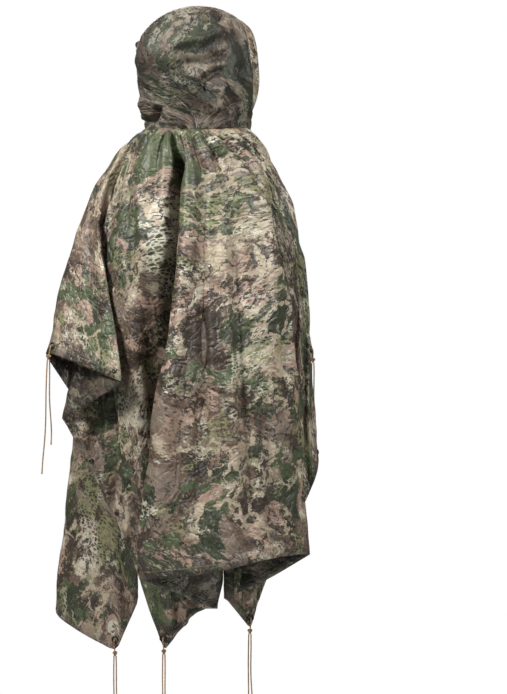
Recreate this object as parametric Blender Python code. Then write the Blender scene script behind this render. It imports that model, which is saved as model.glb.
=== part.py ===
"""Rain poncho, worn: one oblong of cloth with a hood, open and empty, as it hangs on a wearer.

The frame is the wearer's: +X to the wearer's left, +Y behind, +Z up, in metres. The origin is the
middle of the neck at the height of the shoulders. The cloth is a ring of falls. Each fall is a line
on the cut, from the neck seam to a point on the cut's edge, and it runs over the shoulder and down
to its foot. The folds lie at the falls.
"""
from math import atan2, cos, hypot, pi, radians, sin, sqrt

import bmesh
import bpy
from mathutils import Matrix, Vector

# ---------------------------------------------------------------- the cut
HALF_WIDTH = 0.72           # arm to arm, from the middle
HALF_LENGTH = 1.12          # shoulder line to hem
NECK_ACROSS = 0.120         # half the neck hole, side to side
NECK_DEEP = 0.105           # half the neck hole, front to back
CLOTH = 0.0015              # wall, with its coating and seams
SEAM_GAP = 0.0003

# ---------------------------------------------------------------- the shoulders that it lies on
SHOULDER_LEFT = 0.196
SHOULDER_RIGHT = 0.167
SHOULDER_BACK = 0.172
SHOULDER_FRONT = 0.160
SHOULDER_DROP = 0.058       # where the cloth leaves the shoulders
BACK_DROP = 0.150
FRONT_DROP = 0.140
NECK_HEIGHT = 0.008
NECK_TILT = 0.012           # how much higher the neck seam is behind
NECK_FALL = Vector((0.0, 0.0, -0.30))    # how it slopes away from the neck seam
NECK_REACH = 0.85
SHOULDER_LEAN = 0.56        # outward slope of the cloth as it leaves the shoulders
BACK_LEAN = 0.16
SHOULDER_SHARE = 0.16       # share of a fall that is on the shoulders

# A row for each fall, round from the left eyelet by way of the back. u and v are its place on the
# cut's edge. top is where it leaves the shoulders, in degrees round from the wearer's left, and tuck
# how far it is sunk there. x, y and z are its foot. round is the share of the panels beside it that
# its bend takes, 0.5 for a soft one.
COLUMNS = ("name", "u", "v", "top", "tuck", "x", "y", "z", "round")
FALLS = (
    ("left_eyelet",          0.72,  0.00,   0, 0.000,  0.346,  0.068, -0.487, 0.12),
    ("wing_fold",            0.72,  0.21,  18, 0.000,  0.153,  0.200, -0.558, 0.08),
    ("wing_return",          0.72,  0.41,  12, 0.032,  0.300,  0.064, -0.640, 0.06),
    ("side_slope",           0.72,  0.62,  27, 0.032,  0.214,  0.064, -0.800, 0.30),
    ("side_low",             0.72,  0.84,  42, 0.008,  0.152,  0.102, -0.920, 0.30),
    ("back_left_corner",     0.72,  1.12,  56, 0.000,  0.071,  0.118, -1.150, 0.10),
    ("left_corner_side",     0.61,  1.12,  74, 0.006,  0.030,  0.105, -1.100, 0.30),
    ("pleat_bottom",         0.50,  1.12,  93, 0.026, -0.029,  0.085, -1.062, 0.12),
    ("pleat_middle",         0.39,  1.12,  91, 0.014,  0.040,  0.165, -1.020, 0.30),
    ("pleat_lip",            0.28,  1.12,  88, 0.000,  0.102,  0.245, -0.978, 0.06),
    ("back_left",            0.16,  1.12,  94, 0.000,  0.015,  0.272, -0.966, 0.30),
    ("back_middle",          0.02,  1.12, 104, 0.000, -0.058,  0.280, -0.955, 0.40),
    ("back_right",          -0.12,  1.12, 117, 0.000, -0.145,  0.250, -0.935, 0.40),
    ("right_bulge",         -0.23,  1.12, 133, 0.000, -0.210,  0.195, -0.930, 0.40),
    ("right_lip",           -0.33,  1.12, 149, 0.000, -0.252,  0.120, -0.937, 0.06),
    ("right_return",        -0.43,  1.12, 148, 0.010, -0.158,  0.106, -0.995, 0.30),
    ("right_bottom",        -0.54,  1.12, 147, 0.022, -0.064,  0.076, -1.040, 0.08),
    ("back_right_corner",   -0.72,  1.12, 155, 0.016, -0.119,  0.066, -1.110, 0.10),
    ("right_low",           -0.72,  0.96, 161, 0.006, -0.148,  0.046, -1.015, 0.30),
    ("right_slope",         -0.72,  0.74, 166, 0.000, -0.246,  0.052, -0.822, 0.30),
    ("right_wing",          -0.72,  0.56, 171, 0.000, -0.277,  0.045, -0.742, 0.30),
    ("right_turn",          -0.72,  0.28, 176, 0.004, -0.242, -0.050, -0.590, 0.30),
    ("right_eyelet",        -0.72,  0.00, 182, 0.000, -0.266, -0.110, -0.487, 0.12),
    ("front_right_turn",    -0.72, -0.26, 194, 0.000, -0.238, -0.168, -0.585, 0.30),
    ("front_right_side",    -0.72, -0.62, 207, 0.000, -0.202, -0.128, -0.780, 0.30),
    ("front_right_low",     -0.72, -0.92, 218, 0.000, -0.160, -0.135, -0.970, 0.30),
    ("front_right_corner",  -0.72, -1.12, 228, 0.000, -0.130, -0.150, -1.075, 0.10),
    ("front_right_bottom",  -0.52, -1.12, 244, 0.032, -0.085, -0.178, -1.000, 0.12),
    ("front_right_lip",     -0.32, -1.12, 236, 0.000, -0.225, -0.228, -0.940, 0.12),
    ("front_right",         -0.16, -1.12, 254, 0.000, -0.120, -0.262, -0.965, 0.40),
    ("front_middle",         0.00, -1.12, 269, 0.000,  0.000, -0.272, -0.975, 0.40),
    ("front_left",           0.16, -1.12, 284, 0.000,  0.115, -0.262, -0.985, 0.40),
    ("front_left_lip",       0.34, -1.12, 308, 0.000,  0.262, -0.190, -1.015, 0.30),
    ("left_bulge",           0.52, -1.12, 328, 0.000,  0.334, -0.085, -1.100, 0.24),
    ("front_left_corner",    0.72, -1.12, 343, 0.022,  0.186,  0.004, -1.172, 0.10),
    ("front_left_low",       0.72, -1.02, 347, 0.046,  0.126,  0.006, -1.035, 0.18),
    ("front_left_side",      0.72, -0.50, 353, 0.004,  0.215,  0.030, -0.690, 0.30),
)
RIGHT_EYELET = 22           # its row
SHOULDER_ROWS = 4
FALL_ROWS = 9

# ---------------------------------------------------------------- the hood
HOOD_TURN = radians(40)     # to the wearer's right, with the head
HOOD_TURN_FROM = 0.010
HOOD_TURN_TO = 0.130
HOOD_WIDE = 0.131           # half its width
RIM_WIDE = 0.102            # half the face opening's width
HOOD_BACK = ((0.105, 0.020), (0.116, 0.060), (0.144, 0.115), (0.170, 0.178), (0.146, 0.240))
HOOD_CROWN = ((0.146, 0.240), (0.094, 0.274), (0.025, 0.291), (-0.055, 0.292), (-0.138, 0.272))
HOOD_RIM = ((-0.062, -0.004), (-0.085, 0.040), (-0.100, 0.110), (-0.114, 0.190), (-0.138, 0.272))
HOOD_COLUMNS = 12
HOOD_ROWS = 11
RIM_SHARE = 0.10            # share of the hood's side that is the casing
RIM_CLOTH = 0.0026

# ---------------------------------------------------------------- fittings and cords
FITTING_INSET = 0.022
EYELET_OUTER = 0.0085
EYELET_INNER = 0.0050
EYELET_HIGH = 0.0016
SNAP_RADIUS = 0.0060
SNAP_HIGH = 0.0024
SNAPS_A_SIDE = 5
FACET_SLACK = 0.00012       # for the corners of the facets under a fitting
CORD = 0.0030
KNOT_RADIUS = 0.0062
TAILS = (0.190, 0.255)
TAIL_STEPS = 8
TAIL_SWAY = 0.0025
TAIL_WAVES = 2.2

# A row for each cord: where in the ring of falls its eyelet is, how its two tails drift, and how far
# apart they are at their ends.
CORD_COLUMNS = ("name", "place", "drift_x", "drift_y", "apart")
CORDS = (
    ("left",         0.10,  0.004, -0.004, 0.012),
    ("right",       21.85,  0.001,  0.004, 0.006),
    ("back_left",    5.00, -0.001,  0.002, 0.004),
    ("back_right",  17.00,  0.001,  0.001, 0.005),
    ("front_left",  34.00, -0.002, -0.002, 0.005),
)
BARE_EYELET_PLACE = 26.0    # the front right corner has its eyelet and no cord


def clear_scene():
    for old in list(bpy.data.objects):
        bpy.data.objects.remove(old)


def material(name, colour, roughness, metallic=0.0):
    finish = bpy.data.materials.new(name)
    finish.use_nodes = True
    shader = finish.node_tree.nodes["Principled BSDF"]
    shader.inputs["Base Color"].default_value = (*colour, 1.0)
    shader.inputs["Roughness"].default_value = roughness
    shader.inputs["Metallic"].default_value = metallic
    return finish


def mix(a, b, share):
    return a + (b - a) * share


def ease(share):
    """0 to 1 with level ends."""
    share = min(max(share, 0.0), 1.0)
    return share * share * (3 - 2 * share)


def hermite(start, end, leave, arrive, share):
    square = share * share
    cube = square * share
    return (start * (2 * cube - 3 * square + 1) + leave * (cube - 2 * square + share)
            + end * (3 * square - 2 * cube) + arrive * (cube - square))


def through(points, share):
    """A point on the smooth curve through a short list of points."""
    spans = len(points) - 1
    place = min(max(share, 0.0), 1.0) * spans
    index = min(int(place), spans - 1)
    here, there = Vector(points[index]), Vector(points[index + 1])
    before = Vector(points[index - 1]) if index > 0 else here * 2 - there
    after = Vector(points[index + 2]) if index + 2 <= spans else there * 2 - here
    return hermite(here, there, (there - before) / 2, (after - here) / 2, place - index)


# ---------------------------------------------------------------- the body cloth
def neck_point(turn):
    """A point on the neck seam, turn radians round from the wearer's left."""
    height = NECK_HEIGHT + NECK_TILT * sin(turn)
    return Vector((NECK_ACROSS * cos(turn), NECK_DEEP * sin(turn), height))


def shoulder_point(turn, tuck):
    across = SHOULDER_LEFT if cos(turn) > 0 else SHOULDER_RIGHT
    deep, drop = (SHOULDER_BACK, BACK_DROP) if sin(turn) > 0 else (SHOULDER_FRONT, FRONT_DROP)
    place = Vector((across * cos(turn), deep * sin(turn), 0.0))
    place -= place.normalized() * tuck
    place.z = -mix(SHOULDER_DROP, drop, sin(turn) ** 2)
    return place


def fall_point(row, share):
    """A point on one fall: share 0 at the neck seam, 1 at its foot."""
    turn = radians(row["top"])
    neck = neck_point(atan2(row["v"], row["u"]))
    shoulder = shoulder_point(turn, row["tuck"])
    foot = Vector((row["x"], row["y"], row["z"]))
    lean = mix(SHOULDER_LEAN, BACK_LEAN, sin(turn) ** 2)
    away = Vector((cos(turn) * lean, sin(turn) * lean, -1.0)).normalized()
    if share < SHOULDER_SHARE:
        reach = (shoulder - neck).length
        out = (Vector((neck.x, neck.y, 0.0)).normalized() + NECK_FALL) * (reach * NECK_REACH)
        return hermite(neck, shoulder, out, away * reach, share / SHOULDER_SHARE)
    reach = (foot - shoulder).length
    return hermite(shoulder, foot, away * reach, foot - shoulder,
                   (share - SHOULDER_SHARE) / (1 - SHOULDER_SHARE))


def cloth_point(rows, place, share):
    """A point on the cloth: place counts falls round the ring, share runs down them."""
    count = len(rows)
    nearest = round(place)
    row = rows[nearest % count]
    bend = mix(0.5, row["round"], ease(share / 0.7))
    offset = place - nearest
    here = fall_point(row, share)
    if abs(offset) >= bend:
        step = 1 if offset > 0 else -1
        return mix(here, fall_point(rows[(nearest + step) % count], share), abs(offset))
    before = mix(here, fall_point(rows[(nearest - 1) % count], share), bend)
    after = mix(here, fall_point(rows[(nearest + 1) % count], share), bend)
    turn = (offset + bend) / (2 * bend)
    return before * (1 - turn) ** 2 + here * (2 * turn * (1 - turn)) + after * turn ** 2


def cloth_normal(rows, place, share):
    """The outward normal, from the cloth a little to each side."""
    step = 0.02
    low, high = max(share - step, 0.0), min(share + step, 1.0)
    along = cloth_point(rows, place + step, share) - cloth_point(rows, place - step, share)
    down = cloth_point(rows, place, high) - cloth_point(rows, place, low)
    return down.cross(along).normalized()


def shares_down():
    on_shoulders = [SHOULDER_SHARE * step / SHOULDER_ROWS for step in range(SHOULDER_ROWS)]
    below = [mix(SHOULDER_SHARE, 1.0, step / FALL_ROWS) for step in range(FALL_ROWS + 1)]
    return on_shoulders + below


def places_round(rows, first, last):
    """Where the mesh has its columns: at each fall, halfway, and at both ends of each bend."""
    places = set()
    for fall in range(first, last + 1):
        bend = rows[fall % len(rows)]["round"]
        places.update((fall, fall + 0.5, fall - 0.5, fall + bend, fall - bend))
    return sorted({round(place, 4) for place in places if first <= place <= last})


def wall(name, points, normals, thickness, finish):
    """A closed wall round a grid of points, half its thickness to each side."""
    mesh = bmesh.new()
    tall, wide = len(points), len(points[0])
    sides = []
    for way in (0.5, -0.5):
        sides.append([[mesh.verts.new(points[r][c] + normals[r][c] * (thickness * way))
                       for c in range(wide)] for r in range(tall)])
    outer, inner = sides
    for r in range(tall - 1):
        for c in range(wide - 1):
            for face, first in ((outer, 1), (inner, -1)):
                corners = (face[r][c], face[r + 1][c], face[r + 1][c + 1], face[r][c + 1])
                mesh.faces.new((corners[0], corners[1], corners[2])[::first])
                mesh.faces.new((corners[0], corners[2], corners[3])[::first])
    border = [(0, c) for c in range(wide)]
    border += [(r, wide - 1) for r in range(1, tall)]
    border += [(tall - 1, c) for c in range(wide - 2, -1, -1)]
    border += [(r, 0) for r in range(tall - 2, 0, -1)]
    for (r, c), (r2, c2) in zip(border, border[1:] + border[:1]):
        mesh.faces.new((outer[r][c], outer[r2][c2], inner[r2][c2], inner[r][c]))
    bmesh.ops.triangulate(mesh, faces=mesh.faces)
    bmesh.ops.recalc_face_normals(mesh, faces=mesh.faces)
    return as_object(name, mesh, finish)


def as_object(name, mesh, finish):
    data = bpy.data.meshes.new(name)
    mesh.to_mesh(data)
    mesh.free()
    data.materials.append(finish)
    data.shade_smooth()
    piece = bpy.data.objects.new(name, data)
    bpy.context.collection.objects.link(piece)
    return piece


def open_seam(line):
    """Draws both ends of a row of points back from the seams there."""
    line[0] += (line[1] - line[0]).normalized() * (SEAM_GAP * 0.6)
    line[-1] += (line[-2] - line[-1]).normalized() * (SEAM_GAP * 0.6)


def body_half(name, rows, first, last, finish):
    places = places_round(rows, first, last)
    shares = shares_down()
    points = [[cloth_point(rows, place, share) for place in places] for share in shares]
    normals = [[cloth_normal(rows, place, share) for place in places] for share in shares]
    for line in points:
        open_seam(line)
    return wall(name, points, normals, CLOTH, finish)


# ---------------------------------------------------------------- the hood
def turned_with_head(height):
    turn = -HOOD_TURN * ease((height - HOOD_TURN_FROM) / (HOOD_TURN_TO - HOOD_TURN_FROM))
    return Matrix.Rotation(turn, 3, "Z")


def hood_point(side, back, up):
    """A point on half the hood: back 0 at the rim, 1 at the seam; up 0 at the neck, 1 at the crown."""
    rim, seam = through(HOOD_RIM, up), through(HOOD_BACK, up)
    crown = through(HOOD_CROWN, 1 - back)
    turn = mix(asin_share(HOOD_RIM[0][0]), pi / 2, back)
    neck = neck_point(turn)
    corner_low = mix(Vector(HOOD_RIM[0]), Vector(HOOD_BACK[0]), back)
    corner_high = mix(Vector(HOOD_RIM[-1]), Vector(HOOD_BACK[-1]), back)
    flat = (mix(rim, seam, back) + mix(Vector((neck.y, neck.z)), crown, up)
            - mix(corner_low, corner_high, up))
    swell = (1 - back ** 2.6) ** 0.5 * (1 - up ** 3.2) ** 0.5
    full = mix(RIM_WIDE, HOOD_WIDE, ease(back * 2.5)) * swell
    wide = mix(neck.x, full, ease(up * 3.5)) + SEAM_GAP * 0.6
    place = Vector((side * wide, flat.x, flat.y + CLOTH / 2 + SEAM_GAP))
    return turned_with_head(place.z) @ place


def asin_share(deep):
    """How far round the neck seam a point is, from its depth."""
    height = max(-1.0, min(1.0, deep / NECK_DEEP))
    return atan2(height, sqrt(1 - height * height))


def hood_patch(name, side, start, stop, thickness, finish, columns):
    backs = [mix(start, stop, c / columns) for c in range(columns + 1)]
    ups = [r / HOOD_ROWS for r in range(HOOD_ROWS + 1)]
    points, normals = [], []
    step = 0.01
    for up in ups:
        low, high = max(up - step, 0.0), min(up + step, 1.0)
        points.append([hood_point(side, back, up) for back in backs])
        line = []
        for back in backs:
            near, far = max(back - step, 0.0), min(back + step, 1.0)
            rise = hood_point(side, back, high) - hood_point(side, back, low)
            run = hood_point(side, far, up) - hood_point(side, near, up)
            normal = run.cross(rise) * side
            if back == 1.0 and up == 1.0:
                normal = turned_with_head(1.0) @ Vector((0, 1, 1))
            elif back == 1.0 or up == 1.0:
                across = turned_with_head(points[-1][len(line)].z) @ Vector((1, 0, 0))
                normal -= across * normal.dot(across)
            line.append(normal.normalized())
        normals.append(line)
    return wall(name, points, normals, thickness, finish)


# ---------------------------------------------------------------- fittings on the cloth
def panel_point(rows, place, share):
    """A point on the flat facets that the mesh has between its columns and rows."""
    start = round(place)
    places = places_round(rows, start - 1, start + 1)
    left = max(p for p in places if p <= place)
    right = min(p for p in places if p > place)
    shares = shares_down()
    high = max(s for s in shares[:-1] if s <= share)
    low = min(s for s in shares if s > high)
    across, down = (place - left) / (right - left), (share - high) / (low - high)
    corner, far_corner = cloth_point(rows, left, high), cloth_point(rows, right, low)
    if down >= across:
        side_corner = cloth_point(rows, left, low)
        return corner + (side_corner - corner) * down + (far_corner - side_corner) * across
    side_corner = cloth_point(rows, right, high)
    return corner + (side_corner - corner) * across + (far_corner - side_corner) * down


def lie_on(rows, place, share, reach):
    """A frame that lies on the cloth's outer face, clear of it over a disc of this reach."""
    point = panel_point(rows, place, share)
    step = 0.01
    after, before = panel_point(rows, place + step, share), panel_point(rows, place - step, share)
    below, over = panel_point(rows, place, share + step), panel_point(rows, place, share - step)
    run, drop = (after - before) / (2 * step), (below - over) / (2 * step)
    normal = drop.cross(run).normalized()
    along = run.normalized()
    frame = Matrix((along, normal.cross(along), normal)).transposed().to_4x4()
    run_square, drop_square, slant = run.length_squared, drop.length_squared, run.dot(drop)
    square = run_square * drop_square - slant ** 2
    lift = 0.0
    for turn in range(24):
        for part in (0.4, 0.7, 0.95):
            spot = frame @ Vector((cos(turn * pi / 12), sin(turn * pi / 12), 0.0)) * (reach * part)
            across, down = spot.dot(run), spot.dot(drop)
            near_place = place + (across * drop_square - down * slant) / square
            near_share = share + (down * run_square - across * slant) / square
            lift = max(lift, (panel_point(rows, near_place, near_share) - point).dot(normal))
    frame.translation = point + normal * (lift + CLOTH / 2 + SEAM_GAP + FACET_SLACK)
    return frame


def eyelet(name, frame, finish):
    """A turned ring with a rounded rim, clamped on the outer face."""
    mesh = bmesh.new()
    middle = (EYELET_OUTER + EYELET_INNER) / 2
    profile = ((EYELET_OUTER, 0.0), (EYELET_OUTER, EYELET_HIGH * 0.5), (middle, EYELET_HIGH),
               (EYELET_INNER, EYELET_HIGH * 0.5), (EYELET_INNER, 0.0))
    corners = [mesh.verts.new((radius, 0.0, height)) for radius, height in profile]
    edges = [mesh.edges.new(pair) for pair in zip(corners, corners[1:] + corners[:1])]
    bmesh.ops.spin(mesh, geom=corners + edges, cent=(0, 0, 0), axis=(0, 0, 1), angle=2 * pi,
                   steps=16, use_merge=True)
    bmesh.ops.recalc_face_normals(mesh, faces=mesh.faces)
    bmesh.ops.transform(mesh, matrix=frame, verts=mesh.verts)
    return as_object(name, mesh, finish)


def snap(name, frame, finish):
    """A press stud's cap: a low disc with a sloped rim."""
    mesh = bmesh.new()
    bmesh.ops.create_cone(mesh, cap_ends=True, segments=12, radius1=SNAP_RADIUS,
                          radius2=SNAP_RADIUS * 0.7, depth=SNAP_HIGH)
    bmesh.ops.translate(mesh, vec=(0, 0, SNAP_HIGH / 2), verts=mesh.verts)
    bmesh.ops.transform(mesh, matrix=frame, verts=mesh.verts)
    return as_object(name, mesh, finish)


def edge_place(rows, u_side, v):
    """Where a height on one of the cut's two side edges comes in the ring of falls."""
    count = len(rows)
    for index in range(count):
        here, there = rows[index], rows[(index + 1) % count]
        if here["u"] == there["u"] == u_side:
            low, high = sorted((here["v"], there["v"]))
            if low <= v <= high:
                return index + (v - here["v"]) / (there["v"] - here["v"])
    return 0.0


def inset_share(rows, place, inset):
    row = rows[round(place) % len(rows)]
    return 1 - inset / hypot(row["u"], row["v"])


# ---------------------------------------------------------------- cords
def tube(name, route, finish, step=CORD * 3):
    """A round cord along the smooth curve through its route."""
    length = sum((Vector(b) - Vector(a)).length for a, b in zip(route, route[1:]))
    count = max(6, round(length / step))
    curve = bpy.data.curves.new(name, "CURVE")
    curve.dimensions = "3D"
    curve.bevel_depth = CORD / 2
    curve.bevel_resolution = 2
    curve.use_fill_caps = True
    spline = curve.splines.new("POLY")
    spline.points.add(count)
    for index in range(count + 1):
        spline.points[index].co = (*through(route, index / count), 1.0)
    curve.materials.append(finish)
    piece = bpy.data.objects.new(name, curve)
    bpy.context.collection.objects.link(piece)
    return piece


def knot(name, centre, finish):
    mesh = bmesh.new()
    bmesh.ops.create_uvsphere(mesh, u_segments=10, v_segments=6, radius=KNOT_RADIUS)
    bmesh.ops.scale(mesh, vec=(1.0, 0.85, 0.9), verts=mesh.verts)
    bmesh.ops.translate(mesh, vec=centre, verts=mesh.verts)
    return as_object(name, mesh, finish)


def tail_route(start, side, length, row):
    """Points down one tail: it hangs, sways a little and drifts away from the other tail."""
    points = []
    for step in range(TAIL_STEPS + 1):
        share = step / TAIL_STEPS
        sway = TAIL_SWAY * sin(pi * TAIL_WAVES * share + side)
        out = row["drift_x"] + side * row["apart"] / 2 + sway
        back = row["drift_y"] + sway / 2
        points.append((start.x + out * share, start.y + back * share, start.z - length * share))
    return points


def cord_parts(row, rows, finish):
    """The cord tied in one eyelet: its loop over the edge, its knot and its two tails."""
    name, place = row["name"], row["place"]
    seat = lie_on(rows, place, inset_share(rows, place, FITTING_INSET), EYELET_OUTER)
    normal = seat.col[2].to_3d()
    above = seat.translation + normal * (EYELET_HIGH + CORD / 2 + SEAM_GAP)
    edge = cloth_point(rows, place, 1.0)
    out = (edge - seat.translation).normalized()
    top = above - out * 0.002
    over = edge + normal * (CORD / 2 + CLOTH + SEAM_GAP) + out * 0.001
    centre = edge + out * (KNOT_RADIUS + 0.003) + normal * 0.001
    towards = (over - centre).normalized()
    stop = centre + towards * (KNOT_RADIUS + SEAM_GAP)
    tube("cord_loop_" + name, [tuple(top), tuple(mix(top, over, 0.5) + normal * 0.0006),
                               tuple(over), tuple(stop)], finish, CORD)
    knot("cord_knot_" + name, centre, finish)
    for side, length in zip((-1, 1), TAILS):
        start = centre + Vector((side * 0.0024, 0.0, -KNOT_RADIUS * 0.9 - SEAM_GAP))
        end_name = "short" if side < 0 else "long"
        tube("cord_tail_%s_%s" % (name, end_name), tail_route(start, side, length, row), finish)


# ---------------------------------------------------------------- the whole garment
def build():
    clear_scene()
    rows = [dict(zip(COLUMNS, values)) for values in FALLS]
    shell = material("coated_cloth", (0.17, 0.16, 0.09), 0.55)
    casing = material("casing_cloth", (0.20, 0.18, 0.10), 0.55)
    metal = material("blackened_metal", (0.03, 0.03, 0.03), 0.4, 0.9)
    cord = material("tan_cord", (0.42, 0.27, 0.12), 0.8)

    body_half("body_back", rows, 0, RIGHT_EYELET, shell)
    body_half("body_front", rows, RIGHT_EYELET, len(rows), shell)
    for side, name in ((1, "left"), (-1, "right")):
        hood_patch("hood_" + name, side, RIM_SHARE, 1.0, CLOTH, shell, HOOD_COLUMNS)
        hood_patch("rim_casing_" + name, side, 0.0, RIM_SHARE - 0.002, RIM_CLOTH, casing, 2)

    places = [row[1] for row in CORDS] + [BARE_EYELET_PLACE]
    names = [row[0] for row in CORDS] + ["front_right"]
    for name, place in zip(names, places):
        seat = lie_on(rows, place, inset_share(rows, place, FITTING_INSET), EYELET_OUTER)
        eyelet("eyelet_" + name, seat, metal)
    spacing = HALF_LENGTH / (SNAPS_A_SIDE + 1)
    for u_side, side_name in ((HALF_WIDTH, "left"), (-HALF_WIDTH, "right")):
        for way, way_name in ((1, "back"), (-1, "front")):
            for number in range(1, SNAPS_A_SIDE + 1):
                place = edge_place(rows, u_side, way * spacing * number)
                seat = lie_on(rows, place, inset_share(rows, place, FITTING_INSET), SNAP_RADIUS)
                snap("snap_%s_%s_%d" % (side_name, way_name, number), seat, metal)
    for values in CORDS:
        cord_parts(dict(zip(CORD_COLUMNS, values)), rows, cord)


build()
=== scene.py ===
"""The looks of the worn rain poncho: coated ripstop in woodland camouflage, eyelets, snaps, cords.

The frame is the wearer's: +X to the wearer's left, +Y behind, +Z up, in metres.
"""
from math import atan2, cos, hypot, pi, radians, sin, sqrt

import bmesh
import bpy
import numpy as np
from mathutils import Matrix, Vector, noise


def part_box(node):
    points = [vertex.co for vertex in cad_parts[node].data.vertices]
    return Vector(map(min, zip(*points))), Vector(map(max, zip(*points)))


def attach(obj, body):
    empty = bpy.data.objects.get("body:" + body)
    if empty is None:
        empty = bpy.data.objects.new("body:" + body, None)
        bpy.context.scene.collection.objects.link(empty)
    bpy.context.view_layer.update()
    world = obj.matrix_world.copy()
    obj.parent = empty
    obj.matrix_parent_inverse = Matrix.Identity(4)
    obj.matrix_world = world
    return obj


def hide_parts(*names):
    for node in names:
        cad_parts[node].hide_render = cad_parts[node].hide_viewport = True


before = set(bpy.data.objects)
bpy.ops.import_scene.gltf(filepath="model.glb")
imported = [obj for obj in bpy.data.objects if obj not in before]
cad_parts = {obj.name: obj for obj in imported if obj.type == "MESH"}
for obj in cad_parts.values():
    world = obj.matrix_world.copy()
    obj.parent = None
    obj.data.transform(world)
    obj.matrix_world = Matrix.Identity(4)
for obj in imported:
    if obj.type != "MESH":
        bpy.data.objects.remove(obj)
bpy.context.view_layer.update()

# ---------------------------------------------------------------- the cut and the falls, in metres
HALF_WIDTH, HALF_LENGTH = 0.72, 1.12
NECK_ACROSS, NECK_DEEP = 0.120, 0.105
CLOTH = 0.0015
SEAM_GAP = 0.0003
SHOULDER_LEFT, SHOULDER_RIGHT = 0.196, 0.167
SHOULDER_BACK, SHOULDER_FRONT = 0.172, 0.160
SHOULDER_DROP, BACK_DROP, FRONT_DROP = 0.058, 0.150, 0.140
NECK_HEIGHT, NECK_TILT = 0.008, 0.012
NECK_LOW_BEHIND = 0.022         # how much lower than in the CAD the seam sits at the back
NECK_FALL = np.array([0.0, 0.0, -0.30])
NECK_REACH = 0.85
SHOULDER_LEAN, BACK_LEAN = 0.56, 0.16
SHOULDER_SHARE = 0.16

# The falls: name, place on the cut's edge, where each leaves the shoulders in degrees and how far it
# is sunk there, its foot, and how soft its bend is.
COLUMNS = ("name", "u", "v", "top", "tuck", "x", "y", "z", "round")
FALLS = (
    ("left_eyelet", 0.72, 0.00, 0, 0.000, 0.346, 0.068, -0.487, 0.12),
    ("wing_fold", 0.72, 0.21, 18, 0.000, 0.153, 0.200, -0.558, 0.08),
    ("wing_return", 0.72, 0.41, 12, 0.032, 0.300, 0.064, -0.640, 0.06),
    ("side_slope", 0.72, 0.62, 27, 0.032, 0.214, 0.064, -0.800, 0.30),
    ("side_low", 0.72, 0.84, 42, 0.008, 0.152, 0.102, -0.920, 0.30),
    ("back_left_corner", 0.72, 1.12, 56, 0.000, 0.071, 0.118, -1.150, 0.10),
    ("left_corner_side", 0.61, 1.12, 74, 0.006, 0.030, 0.105, -1.100, 0.30),
    ("pleat_bottom", 0.50, 1.12, 93, 0.026, -0.029, 0.085, -1.062, 0.12),
    ("pleat_middle", 0.39, 1.12, 91, 0.014, 0.040, 0.165, -1.020, 0.30),
    ("pleat_lip", 0.28, 1.12, 88, 0.000, 0.102, 0.245, -0.978, 0.06),
    ("back_left", 0.16, 1.12, 94, 0.000, 0.015, 0.272, -0.966, 0.30),
    ("back_middle", 0.02, 1.12, 104, 0.000, -0.058, 0.280, -0.955, 0.40),
    ("back_right", -0.12, 1.12, 117, 0.000, -0.145, 0.250, -0.935, 0.40),
    ("right_bulge", -0.23, 1.12, 133, 0.000, -0.210, 0.195, -0.930, 0.40),
    ("right_lip", -0.33, 1.12, 149, 0.000, -0.252, 0.120, -0.937, 0.06),
    ("right_return", -0.43, 1.12, 148, 0.010, -0.158, 0.106, -0.995, 0.30),
    ("right_bottom", -0.54, 1.12, 147, 0.022, -0.064, 0.076, -1.040, 0.08),
    ("back_right_corner", -0.72, 1.12, 155, 0.016, -0.119, 0.066, -1.110, 0.10),
    ("right_low", -0.72, 0.96, 161, 0.006, -0.148, 0.046, -1.015, 0.30),
    ("right_slope", -0.72, 0.74, 166, 0.000, -0.246, 0.052, -0.822, 0.30),
    ("right_wing", -0.72, 0.56, 171, 0.000, -0.277, 0.045, -0.742, 0.30),
    ("right_turn", -0.72, 0.28, 176, 0.004, -0.242, -0.050, -0.590, 0.30),
    ("right_eyelet", -0.72, 0.00, 182, 0.000, -0.266, -0.110, -0.487, 0.12),
    ("front_right_turn", -0.72, -0.26, 194, 0.000, -0.238, -0.168, -0.585, 0.30),
    ("front_right_side", -0.72, -0.62, 207, 0.000, -0.202, -0.128, -0.780, 0.30),
    ("front_right_low", -0.72, -0.92, 218, 0.000, -0.160, -0.135, -0.970, 0.30),
    ("front_right_corner", -0.72, -1.12, 228, 0.000, -0.130, -0.150, -1.075, 0.10),
    ("front_right_bottom", -0.52, -1.12, 244, 0.032, -0.085, -0.178, -1.000, 0.12),
    ("front_right_lip", -0.32, -1.12, 236, 0.000, -0.225, -0.228, -0.940, 0.12),
    ("front_right", -0.16, -1.12, 254, 0.000, -0.120, -0.262, -0.965, 0.40),
    ("front_middle", 0.00, -1.12, 269, 0.000, 0.000, -0.272, -0.975, 0.40),
    ("front_left", 0.16, -1.12, 284, 0.000, 0.115, -0.262, -0.985, 0.40),
    ("front_left_lip", 0.34, -1.12, 308, 0.000, 0.262, -0.190, -1.015, 0.30),
    ("left_bulge", 0.52, -1.12, 328, 0.000, 0.334, -0.085, -1.100, 0.24),
    ("front_left_corner", 0.72, -1.12, 343, 0.022, 0.186, 0.004, -1.172, 0.10),
    ("front_left_low", 0.72, -1.02, 347, 0.046, 0.126, 0.006, -1.035, 0.18),
    ("front_left_side", 0.72, -0.50, 353, 0.004, 0.215, 0.030, -0.690, 0.30),
)
ROWS = [dict(zip(COLUMNS, values)) for values in FALLS]
COLUMNS_A_FALL = 10
ROWS_DOWN, SHOULDER_ROWS = 118, 20

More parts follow.
